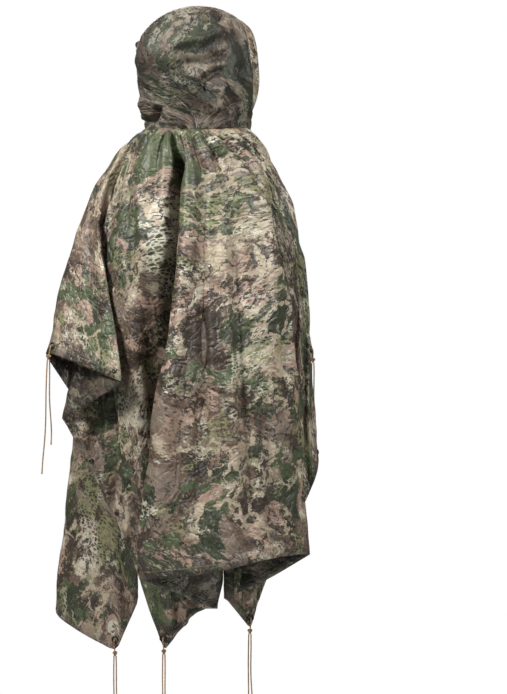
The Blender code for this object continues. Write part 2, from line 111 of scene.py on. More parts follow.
HOOD_TURN = radians(40)
HOOD_TURN_FROM, HOOD_TURN_TO = 0.010, 0.130
HOOD_WIDE, RIM_WIDE = 0.131, 0.102
HOOD_BACK = ((0.105, 0.020), (0.116, 0.060), (0.144, 0.115), (0.168, 0.174), (0.140, 0.230))
HOOD_CROWN = ((0.140, 0.230), (0.092, 0.264), (0.024, 0.287), (-0.055, 0.292), (-0.138, 0.272))
HOOD_RIM = ((-0.062, -0.004), (-0.085, 0.040), (-0.100, 0.110), (-0.114, 0.190), (-0.138, 0.272))
RIM_SHARE, RIM_GAP_SHARE = 0.10, 0.002
HOOD_COLUMNS, RIM_COLUMNS, HOOD_ROWS = 70, 10, 76
HOOD_SPAN = 0.30                # metres that a whole share of the hood stands for
RIM_CLOTH = 0.0026

# How far fittings are in from the edge, the studs on half of a side edge, and where in the ring the
# eyelet without a cord is.
FITTING_INSET = 0.022
SNAPS_A_HALF, FRONT_RIGHT_EYELET = 5, 26.0
EYELET_OUTER, EYELET_INNER, EYELET_HIGH = 0.0085, 0.0050, 0.0016
SNAP_RADIUS, SNAP_HIGH = 0.0060, 0.0024
CORD = 0.0030
KNOT_RADIUS, KNOT_LOOP = 0.0062, 0.00152
TAILS = (0.190, 0.255)
TAIL_END_SWELL = 0.16           # how much thicker the cut end is
# The cords: name, place in the ring, how far the tails drift sideways and behind, and how far apart.
CORDS = (
    ("left", 0.10, 0.004, -0.004, 0.012),
    ("right", 21.85, 0.001, 0.004, 0.006),
    ("back_left", 5.00, -0.001, 0.002, 0.004),
    ("back_right", 17.00, 0.001, 0.001, 0.005),
    ("front_left", 34.00, -0.002, -0.002, 0.005),
)

# Creases pressed or pulled into the body cloth, each a line of points on the cut with a width, and
# a height that is negative for a trough. Wide ones are soft.
CREASES = (
    (((0.19, 0.35), (0.30, 0.53), (0.37, 0.62), (0.43, 0.70), (0.50, 0.79), (0.60, 0.87), (0.70, 0.95)),
     0.045, -0.055),
    (((0.021, 0.184), (0.110, 0.300), (0.166, 0.480), (0.190, 0.700), (0.221, 0.886)), 0.020, 0.010),
    (((0.060, 0.184), (0.150, 0.320), (0.205, 0.500), (0.235, 0.700)), 0.022, -0.012),
    (((0.076, 0.161), (0.140, 0.253), (0.193, 0.348)), 0.012, -0.010),
    (((-0.005, 0.167), (-0.027, 0.200), (-0.045, 0.245)), 0.008, -0.007),
    (((0.012, 0.165), (0.002, 0.220), (-0.008, 0.290)), 0.011, 0.006),
    (((-0.030, 0.230), (-0.049, 0.523), (-0.062, 0.772), (-0.101, 1.125)), 0.020, -0.013),
    (((-0.005, 0.300), (-0.015, 0.560), (-0.025, 0.800), (-0.050, 1.125)), 0.022, 0.010),
    (((0.066, 0.480), (0.062, 0.720), (0.075, 0.930), (0.095, 1.130)), 0.020, -0.010),
    (((0.110, 0.620), (0.125, 0.860), (0.160, 1.125)), 0.019, 0.009),
    (((-0.092, 0.260), (-0.141, 0.464), (-0.167, 0.647), (-0.190, 0.760)), 0.018, -0.009),
    (((-0.125, 0.740), (-0.138, 0.884), (-0.170, 1.125)), 0.018, -0.010),
    (((-0.159, 0.655), (-0.176, 0.695), (-0.200, 0.725)), 0.007, -0.005),
    (((-0.202, 0.840), (-0.240, 0.905), (-0.285, 0.960)), 0.010, -0.007),
    (((0.017, 0.700), (0.070, 0.745), (0.130, 0.780)), 0.012, -0.006),
    (((0.140, 0.205), (0.155, 0.250), (0.172, 0.290)), 0.009, -0.008),
    (((0.160, 0.200), (0.185, 0.262), (0.222, 0.330)), 0.011, 0.008),
    (((0.185, 0.185), (0.215, 0.240), (0.262, 0.315)), 0.011, -0.009),
    (((0.253, 0.385), (0.262, 0.430), (0.268, 0.470)), 0.010, -0.007),
    (((0.290, 0.040), (0.330, 0.085), (0.372, 0.130)), 0.010, -0.008),
    (((0.400, 0.150), (0.470, 0.190), (0.540, 0.180)), 0.012, -0.007),
    (((0.255, 0.110), (0.330, 0.170), (0.420, 0.250)), 0.018, 0.008),
    (((-0.170, 0.110), (-0.230, 0.170), (-0.300, 0.255), (-0.350, 0.330)), 0.014, -0.009),
    (((-0.307, 0.331), (-0.360, 0.380), (-0.420, 0.425)), 0.011, -0.008),
    (((-0.140, 0.150), (-0.175, 0.230), (-0.215, 0.340)), 0.013, 0.008),
    (((0.020, -0.160), (0.015, -0.420), (0.040, -0.760), (0.030, -1.125)), 0.021, -0.013),
    (((-0.080, -0.150), (-0.110, -0.480), (-0.130, -0.820), (-0.120, -1.125)), 0.020, 0.012),
    (((0.090, -0.180), (0.135, -0.440), (0.190, -0.700), (0.230, -0.960)), 0.020, -0.012),
    (((0.150, -0.130), (0.235, -0.320), (0.300, -0.560)), 0.016, 0.009),
    (((-0.150, -0.120), (-0.240, -0.290), (-0.300, -0.480)), 0.015, -0.010),
    (((0.200, -0.060), (0.290, -0.130), (0.390, -0.260)), 0.013, -0.008),
    (((-0.190, -0.050), (-0.280, -0.120), (-0.380, -0.230)), 0.012, 0.008),
)

# Folds that run with the falls: where in the ring, the shares of the fall that they start and stop at,
# half their width in falls, and their height.
FALL_FOLDS = (
    (6.75, 0.02, 1.25, 0.75, -0.046),
    (5.75, 0.06, 0.62, 0.35, 0.007),
    (5.40, 0.12, 0.60, 0.45, 0.007),
    (4.60, 0.14, 0.48, 0.40, -0.010),
    (8.90, 0.02, 1.30, 0.80, 0.030),
    (8.05, 0.30, 1.30, 0.45, -0.036),
    (10.2, 0.10, 0.90, 0.45, -0.008),
    (36.9, 0.16, 0.95, 1.20, 0.012),
    (0.35, 0.16, 0.50, 0.35, -0.006),
    (33.2, 0.40, 1.30, 1.30, 0.021),
    (13.6, 0.12, 0.60, 0.60, 0.006),
    (15.2, 0.15, 0.90, 0.60, -0.008),
    (19.3, 0.15, 0.75, 0.60, 0.008),
    (20.2, 0.18, 0.80, 0.50, -0.008),
    (23.6, 0.12, 0.90, 0.55, 0.010),
    (24.6, 0.12, 0.90, 0.50, -0.012),
    (27.4, 0.12, 1.20, 0.55, -0.012),
    (28.6, 0.10, 1.20, 0.50, 0.010),
    (31.5, 0.12, 1.20, 0.50, -0.010),
    (34.9, 0.12, 0.70, 0.60, -0.010),
    (35.7, 0.20, 0.80, 0.50, 0.008),
)
# Gathers that run down from the neck seam: place in the ring, the share where they end, and height.
NECK_GATHERS = (
    (3.4, 0.22, -0.005), (4.5, 0.17, 0.004), (5.3, 0.26, -0.007), (6.2, 0.19, 0.004),
    (7.0, 0.30, -0.008), (7.9, 0.24, 0.005), (8.7, 0.28, -0.007), (9.6, 0.20, 0.005),
    (10.4, 0.25, -0.006), (11.2, 0.16, 0.004), (11.9, 0.22, -0.007), (12.7, 0.18, 0.005),
    (13.5, 0.26, -0.006), (14.6, 0.18, 0.004), (16.0, 0.22, -0.005), (18.1, 0.20, -0.005),
    (20.0, 0.24, 0.005), (21.6, 0.20, -0.005), (23.7, 0.23, -0.006), (25.3, 0.18, 0.005),
    (27.1, 0.24, -0.006), (28.9, 0.19, 0.005), (30.4, 0.25, -0.006), (32.0, 0.18, 0.004),
    (33.8, 0.22, -0.006), (35.5, 0.17, 0.004), (0.6, 0.20, -0.005), (2.1, 0.18, 0.004),
)
GATHER_HALF, GATHER_TALL = 0.30, 1.6       # half the width in falls, and what the heights are times
# Where the printed pattern is pinned to the cut: its corners and the eyelets of its sides.
PATTERN_PINS = (0, 5, 17, 22, 26, 34, 37)
PRINT_START = (4.81, 2.2, 0.0)      # where on the printed roll the cut begins
# The weave: the side of a ripstop square, and half the width of its thread. The hem: how deep it is,
# how far in its stitches are, and how long one is.
RIPSTOP_SQUARE, RIPSTOP_THREAD = 0.0055, 0.00035
HEM_DEEP, STITCH_INSET, STITCH_PITCH = 0.0175, 0.0160, 0.0036
# Flutes: how many to a fall, how full, how much of the room beside them they may take, and the deepest.
FLUTES_A_FALL = 1.35
FLUTE_FULL, FLUTE_ROOM, FLUTE_DEEPEST = 0.62, 0.30, 0.017
# How full the flutes are at each fall: less where a panel lies smooth or makes the outline.
FLUTE_SHARES = (
    0.1, 0.5, 0.8, 0.8, 0.7, 0.5, 0.8, 0.9, 0.8, 0.3, 0.35, 0.3, 0.3, 0.2, 0.3, 0.9, 0.9, 0.5, 0.7,
    0.5, 0.3, 0.6, 0.1, 0.9, 1.0, 1.0, 0.6, 1.0, 0.8, 1.0, 1.0, 1.0, 0.8, 0.15, 0.4, 0.6, 0.6,
)
NECK_TURNED_IN, NECK_TURNED_UP = 0.0045, 0.0060
FOLD_STEEP, CREASE_STEEP = 1.8, 1.6         # how fast a fold and a crease die away to their sides
# Crumpling of the body, soft and fine: scale, seed, layers, height, and the share where it is full.
CRUMPLES = ((9.0, 21.0, 3, 0.0045, 0.08), (24.0, 33.0, 2, 0.0013, 0.05))
CALM_NEAR, CALM_FAR = 0.008, 0.045          # how the cloth lies flat about a fitting

# The room: where the floor is, what light comes from all round, and the lamps, each with its place,
# what it points at, its two sides and its power.
FLOOR_RADIUS, FLOOR_HEIGHT, FLOOR_PALE = 1.15, -1.5, (0.88, 0.88, 0.88)
SOFT_LIGHT = 0.12
CAMERA_PLACE = (-0.126, 4.0, -0.481)
CAMERA_LENS, CAMERA_SENSOR, CAMERA_REACH = 91.4, 36.0, 60.0
LAMPS = (
    ("key", (-2.1, 1.6, 1.30), (0.0, 0.0, -0.25), (0.6, 0.8), 92.0),
    ("fill", (1.7, 1.7, 1.50), (0.1, 0.0, 0.15), (0.6, 0.9), 100.0),
    ("upper_left", (1.15, 1.25, 0.85), (0.12, 0.0, 0.0), (0.35, 0.35), 17.0),
    ("front", (0.4, -2.8, 0.9), (0.0, 0.0, -0.4), (1.0, 1.2), 70.0),
    ("top", (0.1, 0.5, 2.8), (0.0, 0.0, 0.0), (1.2, 0.8), 26.0),
)


# ---------------------------------------------------------------- small sums
def mix(a, b, share):
    return a + (b - a) * share


def ease(share):
    share = np.clip(share, 0.0, 1.0)
    return share * share * (3 - 2 * share)


def hermite(start, end, leave, arrive, share):
    """A place between two ends, leaving and arriving in the given directions."""
    square = share * share
    cube = square * share
    return (start * (2 * cube - 3 * square + 1) + leave * (cube - 2 * square + share)
            + end * (3 * square - 2 * cube) + arrive * (cube - square))


def through(points, share):
    """The place at a share of the smooth line through the points."""
    spans = len(points) - 1
    place = min(max(share, 0.0), 1.0) * spans
    index = min(int(place), spans - 1)
    here, there = Vector(points[index]), Vector(points[index + 1])
    before = Vector(points[index - 1]) if index > 0 else here * 2 - there
    after = Vector(points[index + 2]) if index + 2 <= spans else there * 2 - here
    return hermite(here, there, (there - before) / 2, (after - here) / 2, place - index)


def bell(apart, half, steep):
    """1 in the middle of a fold, dying away on both sides."""
    return np.exp(-(apart / half) ** 2 * steep)


def unit(vectors):
    return vectors / np.maximum(np.linalg.norm(vectors, axis=-1, keepdims=True), 1e-9)


# ---------------------------------------------------------------- shader nodes
class Nodes:
    """A material's node tree, with short calls for the nodes that the finishes use."""

    def __init__(self, name):
        self.material = bpy.data.materials.new(name)
        self.material.use_nodes = True
        self.tree = self.material.node_tree
        self.shader = self.tree.nodes["Principled BSDF"]

    def fill(self, socket, value):
        """Links another node's output to the socket, or sets the socket to a value."""
        if isinstance(value, bpy.types.NodeSocket):
            self.tree.links.new(value, socket)
        else:
            socket.default_value = value

    def feed(self, name, value):
        """The same for one of the shader's own inputs."""
        self.fill(self.shader.inputs[name], value)

    def node(self, kind, inputs=(), **settings):
        made = self.tree.nodes.new(kind)
        for key, value in settings.items():
            setattr(made, key, value)
        for key, value in dict(inputs).items():
            self.fill(made.inputs[key], value)
        return made

    def worked(self, operation, a, b=0.0):
        return self.node("ShaderNodeMath", {0: a, 1: b}, operation=operation).outputs[0]

    def times(self, a, b):
        return self.worked("MULTIPLY", a, b)

    def plus(self, a, b):
        return self.worked("ADD", a, b)

    def minus(self, a, b):
        return self.worked("SUBTRACT", a, b)

    def least(self, a, b):
        return self.worked("MINIMUM", a, b)

    def size(self, a):
        """How large it is, whichever its sign."""
        return self.worked("ABSOLUTE", a)

    def zigzag(self, a, half):
        """Up from 0 to half and down again, over and over."""
        return self.worked("PINGPONG", a, half)

    def moved(self, place, by, amount):
        """The place, moved by a vector times an amount."""
        way = self.node("ShaderNodeVectorMath", {0: by, 3: amount}, operation="SCALE").outputs[0]
        return self.node("ShaderNodeVectorMath", {0: place, 1: way}, operation="ADD").outputs[0]

    def scaled(self, place, scale, turn=0.0, move=(0.0, 0.0, 0.0)):
        return self.node("ShaderNodeMapping", {"Vector": place, "Scale": scale,
                                               "Rotation": (0.0, 0.0, turn), "Location": move}).outputs[0]

    def clouds(self, place, scale, detail=2.0, rough=0.5, bend=0.0, seed=0.0):
        place = self.scaled(place, (1, 1, 1), 0.0, (seed, seed * 0.37, seed * 0.11))
        return self.node("ShaderNodeTexNoise", {"Vector": place, "Scale": scale, "Detail": detail,
                                                "Roughness": rough, "Distortion": bend}).outputs["Fac"]

    def cells(self, place, scale, feature="F1", random=1.0):
        return self.node("ShaderNodeTexVoronoi", {"Vector": place, "Scale": scale, "Randomness": random},
                         feature=feature).outputs["Distance"]

    def step(self, value, low, high):
        """0 below low and 1 above high, or the other way round if high is less."""
        return self.node("ShaderNodeMapRange", {"Value": value, "From Min": low, "From Max": high,
                                                "To Min": 0.0, "To Max": 1.0},
                         interpolation_type="SMOOTHSTEP").outputs[0]

    def blend(self, share, a, b):
        made = self.node("ShaderNodeMix", {0: share}, data_type="RGBA")
        for index, colour in ((6, a), (7, b)):
            self.fill(made.inputs[index], (*colour, 1.0) if isinstance(colour, tuple) else colour)
        return made.outputs[2]

    def bump(self, height, depth, strength, under=None):
        inputs = {"Height": height, "Distance": depth, "Strength": strength}
        if under is not None:
            inputs["Normal"] = under
        return self.node("ShaderNodeBump", inputs).outputs[0]


DARK_BROWN = (0.026, 0.016, 0.011)
MID_BROWN = (0.100, 0.064, 0.044)
GREY_BROWN = (0.165, 0.125, 0.095)
DARK_GREEN = (0.018, 0.028, 0.012)
GREEN = (0.048, 0.068, 0.028)
OLIVE = (0.190, 0.200, 0.095)
SAND = (0.360, 0.300, 0.215)
ROSE_SAND = (0.290, 0.200, 0.150)
CREAM = (0.480, 0.450, 0.350)
BLACK = (0.008, 0.007, 0.006)


def camouflage(nodes, place):
    """Woodland camouflage: torn patches, nets of fine light lines, rows of dark scales and twigs."""
    wander = nodes.node("ShaderNodeTexNoise", {"Vector": place, "Scale": 15.0, "Detail": 6.0,
                                               "Roughness": 0.70}).outputs["Color"]
    centred = nodes.node("ShaderNodeVectorMath", {0: wander, 1: (0.5, 0.5, 0.5)},
                         operation="SUBTRACT").outputs[0]
    torn = nodes.moved(place, centred, 0.070)
    bent = nodes.moved(place, centred, 0.020)
    grain = nodes.clouds(place, 105.0, 5.0, 0.72, 0.4, 1.0)

    # The ground: browns, with patches of green through them.
    earth = nodes.clouds(torn, 9.0, 2.0, 0.5, 0.6, 11.7)
    colour = nodes.blend(nodes.step(earth, 0.520, 0.532), MID_BROWN, DARK_BROWN)
    colour = nodes.blend(nodes.step(earth, 0.455, 0.440), colour, GREY_BROWN)
    leaf = nodes.clouds(torn, 7.6, 2.0, 0.5, 0.5, 3.1)
    shade = nodes.step(nodes.clouds(torn, 12.0, 1.0, 0.5, 0.0, 6.3), 0.50, 0.53)
    leaves = nodes.blend(shade, GREEN, DARK_GREEN)
    colour = nodes.blend(nodes.step(leaf, 0.528, 0.536), colour, leaves)
    rim = nodes.times(nodes.step(leaf, 0.518, 0.522), nodes.step(leaf, 0.532, 0.527))
    colour = nodes.blend(nodes.times(rim, 0.45), colour, SAND)

    # Light patches, their middles whole and their borders broken up.
    light = nodes.clouds(torn, 9.6, 4.0, 0.62, 0.8, 23.3)
    tone = nodes.clouds(torn, 11.0, 2.0, 0.5, 0.0, 31.9)
    pale = nodes.blend(nodes.step(tone, 0.50, 0.53), ROSE_SAND, SAND)
    colour = nodes.blend(nodes.step(light, 0.560, 0.567), colour, pale)
    colour = nodes.blend(nodes.step(light, 0.645, 0.652), colour, CREAM)
    mottled = nodes.step(grain, 0.46, 0.40)
    near_light = nodes.times(nodes.step(light, 0.480, 0.550), nodes.step(light, 0.62, 0.57))
    colour = nodes.blend(nodes.times(mottled, near_light), colour, pale)

    # Nets of light lines round small long holes, over the ground.
    rows = nodes.scaled(bent, (82.0, 150.0, 1.0), 0.05)
    mesh = nodes.cells(rows, 1.0, "DISTANCE_TO_EDGE", 0.72)
    net_place = nodes.clouds(torn, 7.8, 3.0, 0.6, 0.5, 53.9)
    net = nodes.times(nodes.step(mesh, 0.150, 0.080), nodes.step(net_place, 0.545, 0.575))
    net_tone = nodes.blend(nodes.step(tone, 0.46, 0.54), OLIVE, CREAM)
    colour = nodes.blend(nodes.times(net, 0.88), colour, net_tone)

    # Rows of dark scales over the light patches and the browns.
    dots = nodes.cells(rows, 1.0, "F1", 0.72)
    scale_place = nodes.clouds(torn, 8.4, 3.0, 0.6, 0.5, 61.3)
    scales = nodes.times(nodes.step(dots, 0.40, 0.30), nodes.step(scale_place, 0.528, 0.560))
    colour = nodes.blend(nodes.times(scales, 0.88), colour, DARK_BROWN)

    # Twigs: thin light lines that fork, thicker in places, and darker ones.
    width = nodes.times(nodes.clouds(place, 30.0, 1.0), 0.12)
    twig = nodes.minus(nodes.cells(torn, 19.0, "DISTANCE_TO_EDGE"), width)
    twig_place = nodes.step(nodes.clouds(torn, 6.4, 2.0, 0.5, 0.5, 67.1), 0.575, 0.600)
    colour = nodes.blend(nodes.times(nodes.step(twig, 0.004, -0.010), twig_place), colour, SAND)
    cracks = nodes.step(nodes.cells(torn, 31.0, "DISTANCE_TO_EDGE"), 0.060, 0.020)
    cracked = nodes.step(nodes.clouds(torn, 7.0, 2.0, 0.5, 0.5, 79.3), 0.520, 0.560)
    colour = nodes.blend(nodes.times(cracks, cracked), colour, BLACK)

    # Splatter: pale specks on the green and dark ones everywhere, and small blots.
    speck = nodes.cells(bent, 105.0, "F1", 1.0)
    pale_place = nodes.step(nodes.clouds(torn, 9.0, 2.0, 0.5, 0.3, 91.7), 0.50, 0.56)
    colour = nodes.blend(nodes.times(nodes.step(speck, 0.25, 0.17), pale_place), colour, OLIVE)
    blot = nodes.clouds(torn, 24.0, 4.0, 0.7, 0.6, 83.7)
    colour = nodes.blend(nodes.times(nodes.step(blot, 0.595, 0.615), 0.80), colour, BLACK)
    colour = nodes.blend(nodes.times(nodes.step(grain, 0.56, 0.64), 0.58), colour, BLACK)
    colour = nodes.blend(nodes.times(nodes.step(grain, 0.40, 0.32), 0.40), colour, SAND)
    return colour, grain


def stitch_line(nodes, edge_distance, along):
    """1 on the threads of the row of stitches that holds the hem."""
    off = nodes.size(nodes.minus(edge_distance, STITCH_INSET))
    line = nodes.step(off, 0.0007, 0.0003)
    beat = nodes.zigzag(along, STITCH_PITCH / 2)
    return nodes.times(line, nodes.step(beat, STITCH_PITCH * 0.10, STITCH_PITCH * 0.20))


def camo_cloth(name, shade=1.0, hemmed=True, sheen=0.02, rough=0.46):
    """Coated ripstop nylon. A shade under 1 darkens the colour towards black: painted shade on the inner
    faces, and a slightly darker casing.
    """
    nodes = Nodes(name)
    place = nodes.node("ShaderNodeTexCoord").outputs["UV"]
    colour, fine = camouflage(nodes, nodes.scaled(place, (1, 1, 1), 0.0, PRINT_START))
    split = nodes.node("ShaderNodeSeparateXYZ", {0: place})
    u, v = split.outputs[0], split.outputs[1]

    mesh_u = nodes.zigzag(u, RIPSTOP_SQUARE / 2)
    mesh_v = nodes.zigzag(v, RIPSTOP_SQUARE / 2)
    thread = nodes.step(nodes.least(mesh_u, mesh_v), RIPSTOP_THREAD, 0.00010)
    threads = nodes.blend(nodes.times(thread, 0.16), colour, BLACK)
    faded = nodes.blend(nodes.times(nodes.step(fine, 0.35, 0.75), 0.14), threads, SAND)
    worn = nodes.clouds(place, 3.2, 4.0, 0.6, 0.0, 5.5)
    shaded = nodes.blend(nodes.times(nodes.step(worn, 0.35, 0.70), 0.16), faded, (0.0, 0.0, 0.0))

    height = nodes.times(thread, 0.00010)
    if hemmed:
        from_u = nodes.minus(HALF_WIDTH, nodes.size(u))
        from_v = nodes.minus(HALF_LENGTH, nodes.size(v))
        edge = nodes.least(from_u, from_v)
        along = nodes.plus(u, v)
        hem = nodes.step(edge, HEM_DEEP + 0.0010, HEM_DEEP - 0.0005)
        stitches = stitch_line(nodes, edge, along)
        shaded = nodes.blend(nodes.times(nodes.step(edge, HEM_DEEP + 0.0050, HEM_DEEP), 0.22), shaded, BLACK)
        shaded = nodes.blend(nodes.times(stitches, 0.7), shaded, OLIVE)
        pucker = nodes.times(nodes.clouds(place, 85.0, 1.0, 0.4, 0.0, 2.0),
                             nodes.step(edge, 0.034, 0.016))
        height = nodes.plus(height, nodes.times(hem, 0.0007))
        height = nodes.plus(height, nodes.times(stitches, 0.0003))
        height = nodes.plus(height, nodes.times(pucker, 0.0022))
    # Painted shade: the colour is darkened towards black, strongly on the inner faces to stand for the shade
    # they lie in, a little on the casing.
    if shade < 1.0:
        shaded = nodes.blend(1 - shade, shaded, (0.006, 0.006, 0.005))
    nodes.feed("Base Color", shaded)

    # Crumpling: long sharp creases where the coating has been folded, and soft ones between.
    drift = nodes.node("ShaderNodeTexNoise", {"Vector": place, "Scale": 9.0, "Detail": 3.0}).outputs["Color"]
    drifted = nodes.moved(place, drift, 0.12)
    facets = nodes.cells(nodes.scaled(drifted, (1.0, 0.72, 1.0), 0.5), 15.0, "DISTANCE_TO_EDGE")
    small = nodes.cells(nodes.scaled(drifted, (1.0, 0.8, 1.0), -0.7), 38.0, "DISTANCE_TO_EDGE")
    soft = nodes.clouds(place, 26.0, 3.0, 0.55, 0.4, 7.7)
    where = nodes.step(nodes.clouds(place, 4.2, 2.0, 0.5, 0.0, 17.0), 0.38, 0.66)
    folds = nodes.times(nodes.least(facets, 0.16), nodes.times(where, 0.026))
    folds = nodes.plus(folds, nodes.times(nodes.least(small, 0.14), 0.0080))
    folds = nodes.plus(folds, nodes.times(soft, 0.0075))
    crumpled = nodes.bump(folds, 1.0, 0.85)
    nodes.feed("Normal", nodes.bump(height, 1.0, 0.8, crumpled))

    gloss = nodes.plus(nodes.times(nodes.clouds(place, 34.0, 3.0, 0.6, 0.0, 9.0), 0.22),
                       rough - 0.11)
    nodes.feed("Roughness", gloss)
    nodes.feed("Specular IOR Level", 0.36)
    nodes.feed("Sheen Weight", sheen)
    nodes.feed("Sheen Roughness", 0.4)
    return nodes.material


def metal(name, colour, rough, bare):
    """Blackened brass, rubbed bright in scattered patches."""
    nodes = Nodes(name)
    place = nodes.node("ShaderNodeTexCoord").outputs["Object"]
    wear = nodes.step(nodes.clouds(place, 420.0, 4.0, 0.65, 0.2, 1.0), 0.52, 0.72)
    nodes.feed("Base Color", nodes.blend(wear, colour, bare))
    nodes.feed("Roughness", nodes.plus(nodes.times(wear, -0.12), rough))
    scratches = nodes.clouds(nodes.scaled(place, (1.0, 1.0, 5.0)), 900.0, 3.0, 0.6)
    nodes.feed("Normal", nodes.bump(nodes.times(scratches, 0.00012), 1.0, 0.5))
    nodes.feed("Metallic", 0.9)
    return nodes.material


def braided_cord(name, colour, dark):
    """A braided sheath: two crossing sets of strands, with the gaps between them darker."""
    nodes = Nodes(name)
    place = nodes.node("ShaderNodeTexCoord").outputs["Object"]
    split = nodes.node("ShaderNodeSeparateXYZ", {0: place})
    round_it = nodes.plus(split.outputs[0], split.outputs[1])
    one = nodes.zigzag(nodes.plus(split.outputs[2], round_it), 0.0007)
    two = nodes.zigzag(nodes.minus(split.outputs[2], round_it), 0.0007)
    strand = nodes.least(one, two)
    gap = nodes.step(strand, 0.00022, 0.00004)
    tone = nodes.clouds(place, 160.0, 3.0, 0.6, 0.0, 4.0)
    base = nodes.blend(nodes.step(tone, 0.30, 0.70), colour, dark)
    nodes.feed("Base Color", nodes.blend(nodes.times(gap, 0.6), base, dark))
    nodes.feed("Normal", nodes.bump(strand, 0.6, 0.7))
    nodes.feed("Roughness", 0.82)
    nodes.feed("Sheen Weight", 0.25)
    return nodes.material


def plain(name, colour, rough):
    nodes = Nodes(name)
    nodes.feed("Base Color", (*colour, 1.0))
    nodes.feed("Roughness", rough)
    return nodes.material


# ---------------------------------------------------------------- the room
def aim(thing, target):
    thing.rotation_euler = (Vector(target) - thing.location).to_track_quat("-Z", "Y").to_euler()


def lamp(name, place, target, size, power):
    data = bpy.data.lights.new(name, "AREA")
    data.shape = "RECTANGLE"
    data.size, data.size_y = size
    data.energy = power
    light = bpy.data.objects.new(name, data)
    light.location = place
    aim(light, target)
    bpy.context.collection.objects.link(light)


def room():
    """The camera, the lamps, a pale floor and the white that is seen past it."""
    data = bpy.data.cameras.new("camera")
    data.sensor_width = CAMERA_SENSOR
    data.lens = CAMERA_LENS
    data.clip_end = CAMERA_REACH
    camera = bpy.data.objects.new("camera", data)
    camera.location = CAMERA_PLACE
    camera.rotation_euler = (pi / 2, 0.0, pi)
    bpy.context.collection.objects.link(camera)
    bpy.context.scene.camera = camera

    disc = bmesh.new()
    bmesh.ops.create_circle(disc, cap_ends=True, segments=96, radius=FLOOR_RADIUS)
    bmesh.ops.translate(disc, vec=(0.0, 0.0, FLOOR_HEIGHT), verts=disc.verts)
    mesh = bpy.data.meshes.new("floor")
    disc.to_mesh(mesh)
    disc.free()
    mesh.materials.append(plain("pale_floor", FLOOR_PALE, 0.9))
    floor = bpy.data.objects.new("floor", mesh)
    bpy.context.collection.objects.link(floor)

    world = bpy.data.worlds.new("studio")
    world.use_nodes = True
    tree = world.node_tree
    air = tree.nodes["Background"]
    air.inputs[0].default_value = (1.0, 1.0, 1.0, 1.0)
    seen = tree.nodes.new("ShaderNodeLightPath").outputs["Is Camera Ray"]
    bright = tree.nodes.new("ShaderNodeMath")
    bright.operation = "MULTIPLY_ADD"
    bright.inputs[1].default_value = 1.0 - SOFT_LIGHT
    bright.inputs[2].default_value = SOFT_LIGHT
    tree.links.new(seen, bright.inputs[0])
    tree.links.new(bright.outputs[0], air.inputs[1])
    bpy.context.scene.world = world
    bpy.context.scene.view_settings.view_transform = "Standard"
    for values in LAMPS:
        lamp(*values)


# ---------------------------------------------------------------- the body cloth
def neck_line(u, v):
    """The place on the neck seam in this direction on the cut."""
    turn = np.arctan2(v, u)
    behind = max(sin(turn), 0.0)
    return np.array([NECK_ACROSS * np.cos(turn), NECK_DEEP * np.sin(turn),
                     NECK_HEIGHT + NECK_TILT * np.sin(turn) - NECK_LOW_BEHIND * behind ** 2])


def fall_line(row, shares):
    """Points down one fall."""
    turn = radians(row["top"])
    neck = neck_line(row["u"], row["v"])
    across = SHOULDER_LEFT if cos(turn) > 0 else SHOULDER_RIGHT
    deep, drop = (SHOULDER_BACK, BACK_DROP) if sin(turn) > 0 else (SHOULDER_FRONT, FRONT_DROP)
    shoulder = np.array([across * cos(turn), deep * sin(turn), 0.0])
    shoulder -= unit(shoulder) * row["tuck"]
    shoulder[2] = -mix(SHOULDER_DROP, drop, sin(turn) ** 2)
    foot = np.array([row["x"], row["y"], row["z"]])
    lean = mix(SHOULDER_LEAN, BACK_LEAN, sin(turn) ** 2)
    away = unit(np.array([cos(turn) * lean, sin(turn) * lean, -1.0]))
    reach = np.linalg.norm(shoulder - neck)
    out = (unit(np.array([neck[0], neck[1], 0.0])) + NECK_FALL) * (reach * NECK_REACH)
    high = hermite(neck, shoulder, out, away * reach, (shares / SHOULDER_SHARE)[:, None])
    reach = np.linalg.norm(foot - shoulder)
    low = hermite(shoulder, foot, away * reach, foot - shoulder,
                  ((shares - SHOULDER_SHARE) / (1 - SHOULDER_SHARE))[:, None])
    return np.where((shares < SHOULDER_SHARE)[:, None], high, low)


def body_points(places, shares):
    """Points [row down, column round] on the cloth, and their places on the cut."""
    count = len(ROWS)
    lines = [fall_line(row, shares) for row in ROWS]
    columns, cuts = [], []
    for place in places:
        nearest = int(round(place))
        offset = place - nearest
        here = lines[nearest % count]
        before, after = lines[(nearest - 1) % count], lines[(nearest + 1) % count]
        bend = mix(0.5, ROWS[nearest % count]["round"], ease(shares / 0.7))[:, None]
        side = after if offset > 0 else before
        straight = mix(here, side, abs(offset))
        start, stop = mix(here, before, bend), mix(here, after, bend)
        turn = np.clip((offset + bend) / (2 * bend), 0.0, 1.0)
        bent = start * (1 - turn) ** 2 + here * (2 * turn * (1 - turn)) + stop * turn ** 2
        line = np.where(abs(offset) >= bend, straight, bent)
        columns.append(line)
        first = ROWS[int(place) % count]
        second = ROWS[(int(place) + 1) % count]
        part = place - int(place)
        edge = np.array([mix(first["u"], second["u"], part), mix(first["v"], second["v"], part)])
        neck = neck_line(*edge)[:2]
        steps = np.linalg.norm(np.diff(line, axis=0), axis=1)
        gone = np.concatenate([[0.0], np.cumsum(steps)])
        cuts.append(neck + (edge - neck) * (gone / gone[-1])[:, None])
    return np.stack(columns, axis=1), np.stack(cuts, axis=1)


